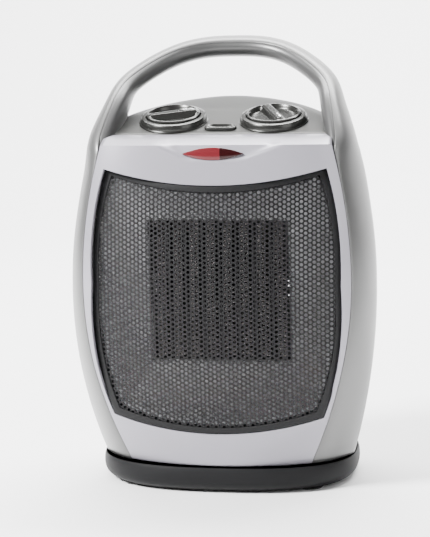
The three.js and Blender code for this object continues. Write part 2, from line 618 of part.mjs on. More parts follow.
// ---- funnel from the rim to the window ----
function heatFunnel() {
  const rows = 4;
  const around = 48;
  const onSquare = (u) => {
    const turn = -u * 2 * Math.PI + Math.PI / 4;
    const reach = Math.max(Math.abs(Math.cos(turn)), Math.abs(Math.sin(turn)));
    return [Math.cos(turn) / reach, Math.sin(turn) / reach];
  };
  const mouth = (a, b, grow) => {
    const z = b * (GRILLE_TOP - GRILLE_BOTTOM) * 0.5 + (GRILLE_TOP + GRILLE_BOTTOM) / 2;
    const waist = GRILLE_HALF - 10 * b * b;
    const lift = -GRILLE_SAG * (1 - a * a) * Math.abs(b) - b * 5;
    const x = a * (waist - 5 + grow);
    const y = -FRONT + x ** 2 / (2 * GRILLE_RADIUS) + (z - NOSE_Z) ** 2 / (2 * NOSE_RADIUS) + RIM_DEPTH + 1.4;
    return new THREE.Vector3(x, y, z + lift + b * grow);
  };
  const throat = (a, b, grow) =>
    new THREE.Vector3(a * (WINDOW_HALF + 0.8 + grow), -0.7, b * (WINDOW_HEIGHT / 2 + 0.8 + grow))
      .applyMatrix4(elementFrame);
  const surface = (u, v, target) => {
    const row = Math.round(v * rows) % rows;
    const [a, b] = onSquare(u);
    const grow = row === 0 || row === 3 ? 0 : 1.4;
    target.copy(row < 2 ? mouth(a, b, grow) : throat(a, b, grow));
  };
  return solid(new ParametricGeometry(surface, around, rows));
}
const funnel = heatFunnel();
add("heat_funnel", funnel, STEEL());

// ---- fan and its duct ----
const ductFront = FAN_Y - 14;
const ductBack = FAN_Y + 10;
const ductWall = 1.6;
const BAFFLE_HALF = 52;
const BAFFLE_LOW = 66;
const BAFFLE_HIGH = 172;
const duct = alongY(ring(FAN_RADIUS + RUN, FAN_RADIUS + RUN + ductWall, -ductBack, -ductFront), 0, FAN_Z);
const ductMouth = alongY(disc(FAN_RADIUS + RUN + ductWall / 2, -ductFront - 5, -ductFront + 5), 0, FAN_Z);
const baffle = box(-BAFFLE_HALF, BAFFLE_HALF, ductFront - 2, ductFront, BAFFLE_LOW, BAFFLE_HIGH);
add("fan_duct", duct.add(baffle.subtract(ductMouth)), BLACK());
const BLADES = 6;
const HUB = 12;
const BLADE_TWIST = 32; // degrees
let impeller = disc(HUB, -7, 7, 0, 0, 28).subtract(disc(SHAFT_RADIUS + GAP, -8, 8, 0, 0, 16));
for (let i = 0; i < BLADES; i++) {
  const blade = box(-9, 9, HUB - 2, FAN_RADIUS - 1, -0.7, 0.7);
  impeller = impeller.add(blade.rotate([0, BLADE_TWIST, 0]).rotate([0, 0, (360 / BLADES) * i]));
}
const sweptSpace = disc(FAN_RADIUS - 1, -6.5, 6.5, 0, 0, 48);
add("impeller", alongY(impeller.intersect(sweptSpace), FAN_Y - 2, FAN_Z), BLACK());
const motorFront = FAN_Y + 14;
const fanShaft = disc(SHAFT_RADIUS, -motorFront - 8, -FAN_Y + 9, 0, 0, 16);
add("fan_shaft", alongY(fanShaft, 0, FAN_Z), STEEL());
const STACK = 24; // half size of the motor's laminated stack
const STACK_DEPTH = 16;
const STACK_RIB = 9;
const COIL_LOW = FAN_Z - STACK + STACK_RIB;
const COIL_TALL = 9;
const coilHalf = STACK - STACK_RIB;
const stackBack = motorFront + STACK_DEPTH;
const stack = box(-STACK, STACK, motorFront, stackBack, FAN_Z - STACK, FAN_Z + STACK)
  .subtract(box(-coilHalf, coilHalf, motorFront - 1, stackBack + 1, COIL_LOW, COIL_LOW + COIL_TALL))
  .subtract(alongY(disc(SHAFT_RADIUS + GAP, -motorFront - 9, -motorFront + 1, 0, 0, 16), 0, FAN_Z));
const bracket = box(-FAN_RADIUS - 1, FAN_RADIUS + 1, motorFront - 3, motorFront + 0.5, FAN_Z + 4, FAN_Z + 14)
  .subtract(alongY(disc(SHAFT_RADIUS + 1, -motorFront - 1, -motorFront + 6, 0, 0, 16), 0, FAN_Z));
add("fan_motor", stack.add(bracket), STEEL());
const coil = box(
  -coilHalf + RUN, coilHalf - RUN, motorFront - 4, stackBack + 4,
  COIL_LOW + RUN, COIL_LOW + COIL_TALL - RUN,
);
add("motor_coil", coil, COPPER());

// ---- control panel, knobs, button, lens ----
const knobHole = (x) => disc(5.5, -20, 20, x, KNOB_S, 24);
const buttonShape = (grow) => {
  const shape = new THREE.Shape();
  const straight = BUTTON_HALF - BUTTON_DEPTH;
  shape.absarc(-straight, BUTTON_S, BUTTON_DEPTH + grow, Math.PI / 2, -Math.PI / 2 + 2 * Math.PI);
  shape.absarc(straight, BUTTON_S, BUTTON_DEPTH + grow, -Math.PI / 2, Math.PI / 2);
  shape.closePath();
  return shape;
};
const buttonHole = slab(buttonShape(RUN), -20, 20, 10);
const panel = slab(panelOutline(0), -PANEL_THICK, 0)
  .subtract(knobHole(-KNOB_X)).subtract(knobHole(KNOB_X)).subtract(buttonHole);
add("control_panel", panel, GUNMETAL(), panelFrame);
const BUTTON_PROUD = 1.8;
const buttonFoot = -PANEL_THICK - 2;
add("oscillation_button", slab(buttonShape(0), buttonFoot, BUTTON_PROUD, 10), GUNMETAL(), panelFrame);
const switchTop = buttonFoot - BUTTON_TRAVEL - RUN;
const buttonSwitch = box(-7, 7, BUTTON_S - 4, BUTTON_S + 4, switchTop - 9, switchTop);
add("oscillation_switch", buttonSwitch, BLACK(), panelFrame);
const SCOOP_RADIUS = 11;
const SCOOP_OFF = 7.6;
const dials = [["thermostat", -KNOB_X, 20], ["mode", KNOB_X, -65]]; // the grip bar's direction in degrees
for (const [name, x, grip] of dials) {
  const collarTop = COLLAR_HEIGHT;
  add(
    `${name}_collar`,
    turned([
      [KNOB_RADIUS + RUN, GAP], [COLLAR_RADIUS, GAP], [COLLAR_RADIUS - 0.4, collarTop * 0.6],
      [COLLAR_RADIUS - 2, collarTop], [KNOB_RADIUS + RUN, collarTop], [KNOB_RADIUS + RUN, GAP],
    ], x, KNOB_S, 32),
    GUNMETAL(),
    panelFrame,
  );
  const scoop = new THREE.SphereGeometry(SCOOP_RADIUS, 16, 8).scale(1, 0.56, 0.42);
  const scoopAt = (side) => solid(scoop.clone()).translate([0, side * SCOOP_OFF, COLLAR_HEIGHT + 1.6]);
  const dial = disc(KNOB_RADIUS, 0.8, COLLAR_HEIGHT + 0.6, 0, 0, 32)
    .subtract(scoopAt(1)).subtract(scoopAt(-1))
    .add(disc(5, -3, 1, 0, 0, 24))
    .rotate([0, 0, grip])
    .translate([x, KNOB_S, 0]);
  add(`${name}_knob`, dial, GUNMETAL(), panelFrame);
}
const underPanel = -PANEL_THICK - 2 * GAP;
const thermostat = box(-KNOB_X - 12, -KNOB_X + 12, KNOB_S - 10, KNOB_S + 14, -20, underPanel);
const modeSwitch = box(KNOB_X - 11, KNOB_X + 11, KNOB_S - 10, KNOB_S + 12, -22, underPanel);
add("thermostat", thermostat, CERAMIC(), panelFrame);
add("mode_switch", modeSwitch, BLACK(), panelFrame);
const lensFront = frontAt(LENS_Z) + 0.8;
const lensShell = bodyForm(1, BODY_Z, DOME_Z);
const lens = wallOf(lensOutline(0), lensFront - 8, lensFront + 4).intersect(lensShell);
add("indicator_lens", lens, paint(0x6b1c22, 0.15));
add("indicator_lamp", alongY(disc(2.5, 0, 9, 0, 0, 16), lensFront + 14, LENS_Z), paint(0xd0683a, 0.3));

export default heater;
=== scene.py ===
# %% [markdown]
# # A ceramic space heater, from its working frame to its finished look
# The working frame holds every solid piece, its joints and its size. This script gives the pieces
# that show a smooth skin and a real finish. All shapes are formulas on grids, in millimetres, and
# one function turns them into meshes in metres.

# %% load the frame
import json
import math
import bmesh
import bpy
import numpy as np
from mathutils import Matrix, Vector


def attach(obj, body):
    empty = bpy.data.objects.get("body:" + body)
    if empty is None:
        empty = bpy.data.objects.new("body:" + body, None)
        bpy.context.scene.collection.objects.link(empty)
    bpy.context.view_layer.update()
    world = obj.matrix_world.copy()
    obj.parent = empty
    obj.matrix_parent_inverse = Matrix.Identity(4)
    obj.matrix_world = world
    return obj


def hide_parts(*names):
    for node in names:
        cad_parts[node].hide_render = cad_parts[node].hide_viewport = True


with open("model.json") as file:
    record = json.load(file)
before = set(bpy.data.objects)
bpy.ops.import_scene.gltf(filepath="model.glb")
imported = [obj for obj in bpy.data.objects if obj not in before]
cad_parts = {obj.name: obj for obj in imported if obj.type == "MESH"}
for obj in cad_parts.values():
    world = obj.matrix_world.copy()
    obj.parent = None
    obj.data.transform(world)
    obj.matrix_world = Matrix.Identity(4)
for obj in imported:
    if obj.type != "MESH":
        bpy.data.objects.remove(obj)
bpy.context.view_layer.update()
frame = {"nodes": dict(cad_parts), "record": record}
NODES = frame["nodes"]
MM = 0.001
print("pieces in the frame:", len(NODES))

# %% [markdown]
# ## Camera
# A long lens a metre away, a little to the viewer's right of the heater and level with its
# panel, keeps the upright lines almost parallel. It comes first, so that every later piece can be
# judged through it.

# %% camera
YAW = math.radians(8.79)
PITCH = math.radians(5.9)
ROLL = math.radians(-0.57)
TARGET = Vector((-8.4, -13.3, 128.4)) * MM
DISTANCE = 0.960
back = Vector((math.sin(YAW) * math.cos(PITCH), -math.cos(YAW) * math.cos(PITCH), math.sin(PITCH)))
camera_data = bpy.data.cameras.new("camera")
camera_data.sensor_fit = "VERTICAL"
camera_data.sensor_height = 36
camera_data.lens = 104.6
camera = bpy.data.objects.new("camera", camera_data)
bpy.context.scene.collection.objects.link(camera)
turn = (-back).to_track_quat("-Z", "Y").to_matrix().to_4x4() @ Matrix.Rotation(ROLL, 4, "Z")
camera.matrix_world = Matrix.Translation(TARGET + DISTANCE * back) @ turn
bpy.context.scene.camera = camera
print("camera at", [round(v, 3) for v in camera.location])

# %% [markdown]
# ## Floor and light
# A pale floor that curves up into a backdrop has no horizon. One broad lamp high on the left gives
# the bright left edges, a second one fills the right, and a pale sky keeps the shadows soft. The
# last lamp is behind the heater and lights only the backdrop, so that it stays pale.

# %% floor and lights
def backdrop():
    """A strip swept along X: flat, then a quarter circle, then upright."""
    turn = np.linspace(0, math.pi / 2, 16)
    y = np.concatenate([[-3.0], 1.6 + 0.8 * np.sin(turn), [2.4]])
    z = np.concatenate([[0.0], 0.8 - 0.8 * np.cos(turn), [4.0]])
    points = [(x, a, b) for a, b in zip(y, z) for x in (-4, 4)]
    mesh = bpy.data.meshes.new("floor")
    mesh.from_pydata(points, [], [(2 * i, 2 * i + 1, 2 * i + 3, 2 * i + 2) for i in range(len(y) - 1)])
    mesh.shade_smooth()
    floor = bpy.data.objects.new("floor", mesh)
    bpy.context.scene.collection.objects.link(floor)
    paper = bpy.data.materials.new("paper")
    paper.use_nodes = True
    paper.node_tree.nodes["Principled BSDF"].inputs["Base Color"].default_value = (0.86, 0.86, 0.86, 1)
    paper.node_tree.nodes["Principled BSDF"].inputs["Roughness"].default_value = 0.9
    mesh.materials.append(paper)


def lamp(name, spot, aim, width, height, power):
    """A soft box at spot, turned to aim."""
    data = bpy.data.lights.new(name, "AREA")
    data.shape = "RECTANGLE"
    data.size, data.size_y, data.energy = width, height, power
    made = bpy.data.objects.new(name, data)
    bpy.context.scene.collection.objects.link(made)
    facing = (Vector(aim) - Vector(spot)).to_track_quat("-Z", "Y").to_matrix().to_4x4()
    made.matrix_world = Matrix.Translation(spot) @ facing


backdrop()
lamp("key", (-0.95, -0.85, 1.1), (0, 0, 0.12), 0.45, 0.45, 110)
lamp("fill", (1.2, -1.1, 0.7), (0, 0, 0.12), 0.9, 1.1, 9)
lamp("top", (0.1, 0.35, 1.3), (0, 0, 0.15), 0.9, 0.9, 16)
lamp("wash", (0, 0.9, 2.2), (0, 2.2, 0.5), 3.0, 0.8, 300)
world = bpy.data.worlds.new("sky")
world.use_nodes = True
world.node_tree.nodes["Background"].inputs["Color"].default_value = (1, 1, 1, 1)
world.node_tree.nodes["Background"].inputs["Strength"].default_value = 0.3
bpy.context.scene.world = world

# %% [markdown]
# ## Helpers for meshes
# A grid of points becomes faces by joining each point to its right and upper neighbours, which
# numpy does for the whole array at once. A ring of columns is closed by wrapping the last column
# to the first one.

# %% mesh helpers
def grid_faces(rows, columns, wrap=False, flip=False, keep=None, start=0):
    """Quads of a rows by columns grid: each joins a point to its right, upper right and upper ones."""
    across = columns if wrap else columns - 1
    i, j = np.meshgrid(np.arange(rows - 1), np.arange(across), indexing="ij")
    right = (j + 1) % columns
    below, above = i * columns, (i + 1) * columns
    quads = np.stack([below + j, below + right, above + right, above + j], -1)
    if keep is not None:
        quads = quads[keep]
    quads = quads.reshape(-1, 4) + start
    return quads[:, ::-1] if flip else quads


def build(name, parts, material, body="body", replaces=(), smooth=35, closed=True,
          merge=0.00002):
    """One object from (points in mm, faces) parts, merged where they meet. A closed one is turned out."""
    points = np.concatenate([np.asarray(p, float).reshape(-1, 3) for p, _ in parts])
    starts = np.cumsum([0] + [np.asarray(p).reshape(-1, 3).shape[0] for p, _ in parts[:-1]])
    faces = [list(map(int, f)) for (_, fs), s in zip(parts, starts) for f in np.asarray(fs) + s]
    mesh = bpy.data.meshes.new(name)
    mesh.from_pydata((points * MM).tolist(), [], faces)
    piece = bpy.data.objects.new(name, mesh)
    bpy.context.scene.collection.objects.link(piece)
    work = bmesh.new()
    work.from_mesh(mesh)
    bmesh.ops.remove_doubles(work, verts=work.verts, dist=merge)
    bmesh.ops.dissolve_degenerate(work, edges=work.edges, dist=merge / 4)
    if closed:
        bmesh.ops.recalc_face_normals(work, faces=work.faces)
    work.to_mesh(mesh)
    work.free()
    finish_piece(piece, material, body, replaces, smooth)
    return piece


def finish_piece(piece, material, body, replaces=(), smooth=35):
    """Gives a piece its finish, smooth shading with sharp edges over the angle, and its body."""
    piece.data.materials.clear()
    piece.data.materials.append(material)
    piece.data.shade_smooth()
    piece.data.set_sharp_from_angle(angle=math.radians(smooth))
    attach(piece, body)
    if replaces:
        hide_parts(*replaces)


def thicken(piece, thick, offset=-1):
    """A wall of even thickness, inwards from the modelled face."""
    wall = piece.modifiers.new("wall", "SOLIDIFY")
    wall.thickness = thick * MM
    wall.offset = offset


def smoothstep(x, low=0.0, high=1.0):
    """0 below low, 1 above high, and an S-shaped curve between them."""
    t = np.clip((np.asarray(x, float) - low) / (high - low), 0, 1)
    return t * t * (3 - 2 * t)


def mix(a, b, t):
    """The value a share t of the way from a to b."""
    return a + (b - a) * t


# %% [markdown]
# ## Helpers for finishes
# A finish is a small node tree. The wrapper class lets its maths be written as ordinary
# expressions: adding two wrapped sockets adds a Math node behind the scenes.

# %% finish helpers
class Wire:
    """A socket whose operators add Math nodes."""

    def __init__(self, tree, socket):
        self.tree = tree
        self.socket = socket

    def math(self, operation, other=None, swap=False):
        node = self.tree.nodes.new("ShaderNodeMath")
        node.operation = operation
        first, second = (other, self) if swap else (self, other)
        for slot_in, value in zip(node.inputs, (first, second)):
            if isinstance(value, Wire):
                self.tree.links.new(value.socket, slot_in)
            elif value is not None:
                slot_in.default_value = value
        return Wire(self.tree, node.outputs[0])

    def __add__(self, other):
        return self.math("ADD", other)

    def __radd__(self, other):
        return self.math("ADD", other, True)

    def __sub__(self, other):
        return self.math("SUBTRACT", other)

    def __rsub__(self, other):
        return self.math("SUBTRACT", other, True)

    def __mul__(self, other):
        return self.math("MULTIPLY", other)

    def __rmul__(self, other):
        return self.math("MULTIPLY", other, True)

    def __gt__(self, other):
        return self.math("GREATER_THAN", other)


class Finish:
    """A material with a principled shader, and one method that adds any other node."""

    def __init__(self, name, color, roughness, metallic=0.0, **constants):
        self.material = bpy.data.materials.new(name)
        self.material.use_nodes = True
        self.tree = self.material.node_tree
        self.shader = self.tree.nodes["Principled BSDF"]
        self.shader.inputs["Base Color"].default_value = (*color, 1)
        self.shader.inputs["Roughness"].default_value = roughness
        self.shader.inputs["Metallic"].default_value = metallic
        for key, value in constants.items():
            self.shader.inputs[key.replace("_", " ")].default_value = value

    def node(self, kind, settings=None, inputs=None, out=0):
        """Any node: its settings first, then the values or wires of its sockets."""
        made = self.tree.nodes.new("ShaderNode" + kind)
        for key, value in (settings or {}).items():
            setattr(made, key, value)
        for key, value in (inputs or {}).items():
            if isinstance(value, Wire):
                self.tree.links.new(value.socket, made.inputs[key])
            else:
                made.inputs[key].default_value = value
        return Wire(self.tree, made.outputs[out])

    def place(self, stretch=(1, 1, 1)):
        """Object coordinates, stretched along each axis."""
        here = self.node("TexCoord", out=3)
        return self.node("Mapping", inputs={"Vector": here, "Scale": stretch})

    def noise(self, scale, detail=3, stretch=(1, 1, 1), rough=0.5):
        return self.node("TexNoise", {}, {"Vector": self.place(stretch), "Scale": scale, "Detail": detail,
                                          "Roughness": rough})

    def shade(self, factor, dark, light):
        """A colour between dark and light by factor."""
        made = self.tree.nodes.new("ShaderNodeMix")
        made.data_type = "RGBA"
        self.tree.links.new(factor.socket, made.inputs[0])
        made.inputs[6].default_value = (*dark, 1)
        made.inputs[7].default_value = (*light, 1)
        return Wire(self.tree, made.outputs[2])

    def feed(self, **wires):
        """Links wires to the shader's own sockets."""
        for key, wire in wires.items():
            self.tree.links.new(wire.socket, self.shader.inputs[key.replace("_", " ")])
        return self

    def bump(self, height, strength, distance):
        normal = self.node("Bump", {}, {"Height": height, "Strength": strength, "Distance": distance})
        return self.feed(Normal=normal)


def moulded(name, color, roughness, metallic=0.0, flake=0.02, grain=900, relief=0.15, vary=0.05, **constants):
    """A sprayed or moulded skin: faint cloudy tone, fine flake in the colour and a light orange peel."""
    made = Finish(name, color, roughness, metallic, **constants)
    cloud = made.noise(14, 4)
    flakes = made.noise(4200, 1)
    tone = cloud * 0.6 + flakes * 0.4
    low = tuple(max(0, c * (1 - flake - vary)) for c in color)
    high = tuple(min(1, c * (1 + flake + vary)) for c in color)
    made.feed(Base_Color=made.shade(tone, low, high), Roughness=cloud * 0.08 + (roughness - 0.04))
    return made.bump(made.noise(grain, 2), relief, 0.00004).material


# %% finishes
SILVER = moulded("silver_paint", (0.115, 0.115, 0.114), 0.38, 0.6, Coat_Weight=0.2, Coat_Roughness=0.25)
LINER = moulded("handle_paint", (0.07, 0.07, 0.07), 0.36, 0.5, Coat_Weight=0.15, Coat_Roughness=0.25)
PEARL = moulded("pearl_paint", (0.25, 0.24, 0.272), 0.36, 0.3, Coat_Weight=0.3, Coat_Roughness=0.15)
GUNMETAL = moulded("gunmetal_paint", (0.014, 0.014, 0.012), 0.42, 0.4, Coat_Weight=0.08)
KNOB = moulded("knob_metal", (0.035, 0.035, 0.033), 0.26, 0.7, grain=500, relief=0.05, Coat_Weight=0.1)
SHINE = moulded("pointer_metal", (0.75, 0.75, 0.75), 0.2, 0.8, relief=0.05)
BASE = moulded("base_plastic", (0.005, 0.005, 0.0055), 0.55, 0, flake=0.1, grain=2600, relief=0.3,
               Specular_IOR_Level=0.15)
BLACK = moulded("black_plastic", (0.010, 0.010, 0.010), 0.5, 0, flake=0.15, grain=1800, relief=0.3)
GRILLE = moulded("grille_coat", (0.004, 0.004, 0.0045), 0.5, 0, flake=0.2, grain=3200, relief=0.3,
                 Specular_IOR_Level=0.2)
FUNNEL = moulded("funnel_metal", (0.62, 0.62, 0.65), 0.45, 0.15, flake=0.02, grain=220, relief=0.2)
FINS = moulded("fin_metal", (0.55, 0.50, 0.50), 0.5, 0.3, flake=0.25, grain=1200, relief=0.4)
BARS = moulded("bar_metal", (0.03, 0.028, 0.03), 0.5, 0.3, flake=0.15, grain=900, relief=0.3)
STEEL = moulded("zinc_plate", (0.35, 0.35, 0.36), 0.35, 0.9, flake=0.05, grain=700, relief=0.2)
COPPER = moulded("winding", (0.32, 0.12, 0.05), 0.4, 0.8, flake=0.2, grain=2000, relief=0.4)
RUBBER = moulded("rubber_pad", (0.012, 0.012, 0.012), 0.85, 0, flake=0.2, grain=1500, relief=0.5)
CERAMIC = moulded("switch_body", (0.5, 0.47, 0.4), 0.6, 0, flake=0.05, grain=900, relief=0.3)
LAMP = moulded("lamp_glass", (0.45, 0.10, 0.04), 0.2, 0, flake=0.05)

lens = Finish("lens_red", (0.1, 0.01, 0.015), 0.18, 0, Coat_Weight=0.1, Coat_Roughness=0.1,
              Specular_IOR_Level=0.25)
# Painted reflection: left of x = 4.2 mm the lens is a lighter red, a soft box's reflection painted into its
# colour, and right of it is the lens's own darker red. The noise makes the upright edge between them ragged.
across = lens.node("SeparateXYZ", {}, {"Vector": lens.node("TexCoord", out=3)})
painted_reflection_mask = (across + lens.noise(300, 1) * 0.0004) > 0.0042
lens.feed(Base_Color=lens.shade(painted_reflection_mask, (0.085, 0.009, 0.012), (0.014, 0.001, 0.0015)))
LENS = lens.material
print("finishes:", len(bpy.data.materials))

CAD_FINISH = {
    "silver_shell": SILVER, "handle_metal": LINER, "pearl_bezel": PEARL, "gunmetal": GUNMETAL,
    "dark_chrome": KNOB, "base_black": BASE, "rubber": RUBBER, "black_moulding": BLACK,
    "grille_black": GRILLE, "funnel_metal": FUNNEL, "aluminium_fins": BARS, "ceramic": CERAMIC,
    "steel": STEEL, "copper_winding": COPPER, "red_lens": LENS, "lamp_glow": LAMP,
}
for entry in frame["record"]["subparts"]:
    node = NODES[entry["node"]]
    node.data.materials.clear()
    node.data.materials.append(CAD_FINISH[entry["material_slot"]])

# %% [markdown]
# ## The body's form
# The silhouette of body and handle is one rounded arch. Below the widest height it draws in by a
# parabola. Each level has a front half and a back half, both superellipses: near the top the front
# one is squarer, so that the fascia is broad and flat.

# %% body form
HALF_WIDTH, WIDEST_Z, DOME_Z, HANDLE_Z, BODY_Z = 92.0, 120.0, 236.0, 272.0, 16.4
ARCH_ACROSS, ARCH_UP, SHOULDER_Z, REAR_SEAM = 2.7, 2.25, 200.0, 12.0
FRONT, NOSE_Z, NOSE_RADIUS, SILL_Z = 77.0, 130.0, 513.0, 205.5
PANEL_Y, PANEL_Z, PANEL_TILT = -49.5, 211.5, math.radians(19)
PANEL_HALF, PANEL_DEPTH = 64.0, 68.0
ARCH_Z = SHOULDER_Z + 3


def rise(z, top):
    return np.clip((z - WIDEST_Z) / (top - WIDEST_Z), 0, 1)


def bell(z, at, spread):
    return np.exp(-((z - at) / spread) ** 2)


def arch_trim(z):
    """What the plain arch lacks near the handle's top, less what it has too much of at the shoulders."""
    top_fill = 3.4 * bell(z, 246, 13)
    shoulder_cut = 1.4 * bell(z, 180, 32)
    return top_fill - shoulder_cut


def hoop_width(z):
    """Half width of the silhouette: a parabola below, a superellipse above."""
    lower = HALF_WIDTH - 12.5 * ((WIDEST_Z - z) / 96) ** 2
    upper = HALF_WIDTH * (1 - rise(z, HANDLE_Z) ** ARCH_UP) ** (1 / ARCH_ACROSS) + arch_trim(z)
    return np.where(z < WIDEST_Z, lower, upper)


def dome_width(z):
    """The silhouette, drawn in above the shoulder to close the body under the handle."""
    t = np.clip((z - SHOULDER_Z) / (DOME_Z - SHOULDER_Z), 0, 1)
    return hoop_width(z) * (1 - t ** 2.2) ** (1 / 2.2)


def front_at(z):
    return -FRONT + (z - NOSE_Z) ** 2 / (2 * NOSE_RADIUS)


def back_at(z):
    high = np.clip((z - 110) / (DOME_Z - 110), 0, 1)
    return np.where(z < 110, FRONT - 11 * ((110 - z) / 94) ** 2, FRONT * (1 - high ** 2.4) ** (1 / 2.4))


def middle_at(z):
    return -38 + 22 * ((z - 118) / 102) ** 2 * np.where(z < 118, 1, 0.5)


def squareness(z):
    return 2 + 1.1 * np.minimum(1, (z - BODY_Z) / 60) + 0.7 * rise(z, SILL_Z)


def front_depth(x, z):
    """Depth of the front skin at (x, z): the front half of the level's superellipse."""
    n = squareness(z)
    share = np.clip(np.abs(x) / hoop_width(z), 0, 0.999)
    return middle_at(z) - (middle_at(z) - front_at(z)) * (1 - share ** n) ** (1 / n)


def deck_height(y):
    """Height of the sloping deck at depth y."""
    return PANEL_Z + (y - PANEL_Y) * math.tan(PANEL_TILT)


def on_panel(points):
    """From the panel's own frame (across, up the slope, out of it) to the heater's."""
    x, y, z = np.moveaxis(np.asarray(points, float), -1, 0)
    c, s = math.cos(PANEL_TILT), math.sin(PANEL_TILT)
    return np.stack([x, PANEL_Y + y * c - z * s, PANEL_Z + y * s + z * c], -1)


# %% [markdown]
# ## Side shell and handle in one sweep
# On the real heater the two side walls run up without a break into the carrying arch. So the skin
# is one ribbon: rows follow the silhouette from the base on one side over the top to the base on
# the other, and columns go from the front crease to the back edge. Low down the ribbon follows the
# body's levels, and higher it eases into the handle's own section.

# %% side hoop
def arch_line(count):
    """Points and directions along the silhouette, evenly spaced by length."""
    low = np.linspace(BODY_Z, WIDEST_Z, 200)[:-1]
    turn = np.linspace(0, math.pi / 2, 600)
    high = WIDEST_Z + (HANDLE_Z - WIDEST_Z) * np.sin(turn) ** (2 / ARCH_UP)
    plain = HALF_WIDTH * np.abs(np.cos(turn)) ** (2 / ARCH_ACROSS)
    x = np.concatenate([hoop_width(low), plain + arch_trim(high) * np.tanh(plain / 20)])
    z = np.concatenate([low, high])
    x = np.concatenate([x, -x[-2::-1]])
    z = np.concatenate([z, z[-2::-1]])
    length = np.concatenate([[0], np.cumsum(np.hypot(np.diff(x), np.diff(z)))])
    at = np.linspace(0, length[-1], count)
    px, pz = np.interp(at, length, x), np.interp(at, length, z)
    tx, tz = np.gradient(px), np.gradient(pz)
    size = np.hypot(tx, tz)
    return px, pz, tx / size, tz / size


def bezel_half(z):
    """Half width of the line where the front bezel meets the side shell."""
    up = 79.1 - 11 * np.clip((z - 124) / 80, 0, 2) ** 2
    down = 79.1 - 25.2 * np.clip((124 - z) / 108, 0, 2) ** 1.9
    return np.where(z > 124, up, down)


def handle_section(pz, along, inner):
    """How far in, and how deep, the handle's face is: a bow on each side of the crease."""
    climb = np.clip((pz - ARCH_Z) / (HANDLE_Z - ARCH_Z), 0, 1)
    crease_y = -64 + 76 * climb ** 1.4
    depth = 58 - 30 * smoothstep(climb * 1.2)
    thick = 18 - 4.6 * smoothstep(climb * 1.6)
    edge = mix(5 + 7.6 * (1 - climb) ** 2.2, thick * 0.6, along)
    bow = np.sin(math.pi * np.clip(along, 0, 1) ** (0.6 if inner else 0.8)) ** 0.7
    inward = edge + (thick - edge) * bow if inner else edge * (1 - bow)
    return inward, crease_y + depth * along


SIDE_ROUND = 1.4


def hoop_point(px, pz, tx, tz, b):
    """The ribbon's skin. In front, a quarter superellipse runs from the seam to the widest line."""
    sign = np.sign(px) + (px == 0)
    width, middle, seam = hoop_width(pz), middle_at(pz), bezel_half(pz)
    seam_y = front_depth(seam, pz)
    front_turn = np.clip(b / 0.5, 0, 1) * math.pi / 2
    front_x = seam + (width - seam) * np.sin(front_turn) ** (2 / SIDE_ROUND)
    front_y = middle - (middle - seam_y) * np.abs(np.cos(front_turn)) ** (2 / SIDE_ROUND)
    reach = back_at(np.minimum(pz, 225)) - middle
    end = np.arcsin(np.clip((REAR_SEAM - middle) / reach, 0, 1) ** 1.1)
    rear_turn = np.clip((b - 0.5) / 0.5, 0, 1) * end
    rear_x = width * np.cos(rear_turn) ** (2 / 2.2)
    rear_y = middle + reach * np.sin(rear_turn) ** (2 / 2.2)
    front = b < 0.5
    body_x = sign * np.where(front, front_x, rear_x)
    body_y = np.where(front, front_y, rear_y)
    body = np.stack([body_x, body_y, pz + 0 * b], -1)
    inward, y = handle_section(pz, b, False)
    hand = np.stack([px - inward * tz, y, pz + inward * tx], -1)
    return mix(body, hand, smoothstep(pz, 184, 216)[..., None] + 0 * body)


px, pz, tx, tz = (v[:, None] for v in arch_line(260))
columns = np.linspace(0, 1, 44)[None, :]
skin = hoop_point(px, pz, tx, tz, 0.5 - 0.5 * np.cos(columns * math.pi * 0.98 + 0.03))
hoop = build("side_hoop", [(skin, grid_faces(*skin.shape[:2]))], SILVER,
             replaces=("side_shell_left", "side_shell_right", "handle"), smooth=50, closed=False)
thicken(hoop, 0.3)
print("side hoop rows:", skin.shape[0])

# %% handle liner
inner_rows = (pz[:, 0] > 198)
liner_pz, liner_px = pz[inner_rows], px[inner_rows]
across_liner = np.linspace(0, 1, 32)[None, :]
inward, liner_y = handle_section(liner_pz, across_liner, True)
liner_x = liner_px - inward * tz[inner_rows]
liner_z = liner_pz + inward * tx[inner_rows]
liner_skin = np.stack([liner_x, liner_y, liner_z], -1)
liner = build("handle_inside", [(liner_skin, grid_faces(*liner_skin.shape[:2], flip=True))], LINER,
              replaces=("handle_liner",), smooth=50, closed=False)
thicken(liner, 0.3)

# %% [markdown]
# ## Shoulders and rear cover
# Behind the handle's feet the body closes in a low dome. One sweep makes it: each level is the back
# half of the body's superellipse, and every point above the sloping deck is laid down on it.

# %% rear cover
def rear_skin(z, turn, inset=0.0):
    """Back half of the level's superellipse, laid down on the deck where it would stand above it."""
    width, middle = dome_width(z) - inset, middle_at(z)
    reach = back_at(z) - inset - middle
    x = width * np.sign(np.cos(turn)) * np.abs(np.cos(turn)) ** (2 / 2.2)
    y = middle + reach * np.abs(np.sin(turn)) ** (2 / 2.2)
    return np.stack([x, y, np.minimum(z + 0 * turn, deck_height(y) - 1.2)], -1)


FAN_Z, INTAKE_RADIUS, SLOT, SLOT_PITCH = 119.0, 44.0, 4.0, 9.0
slot_z = FAN_Z + SLOT_PITCH * np.arange(-4, 5)
low_levels = np.linspace(BODY_Z, slot_z[0] - SLOT / 2, 14)[:-1]
slot_levels = np.sort(np.concatenate([slot_z - SLOT / 2, slot_z + SLOT / 2]))
high_levels = np.linspace(slot_levels[-1], 224, 22)[1:]
dome_levels = DOME_Z - 12 * (1 - np.linspace(0, 1, 14)[1:]) ** 2 - 0.02
levels = np.concatenate([low_levels, slot_levels, high_levels, dome_levels])[:, None]
rear_turn = np.linspace(0, math.pi, 121)[None, :]
rear = rear_skin(levels, rear_turn, 0.5)
mid_z = (levels[1:] + levels[:-1]) / 2
mid_x = (rear[1:, 1:, 0] + rear[:-1, :-1, 0]) / 2
mid_y = (rear[1:, 1:, 1] + rear[:-1, :-1, 1]) / 2
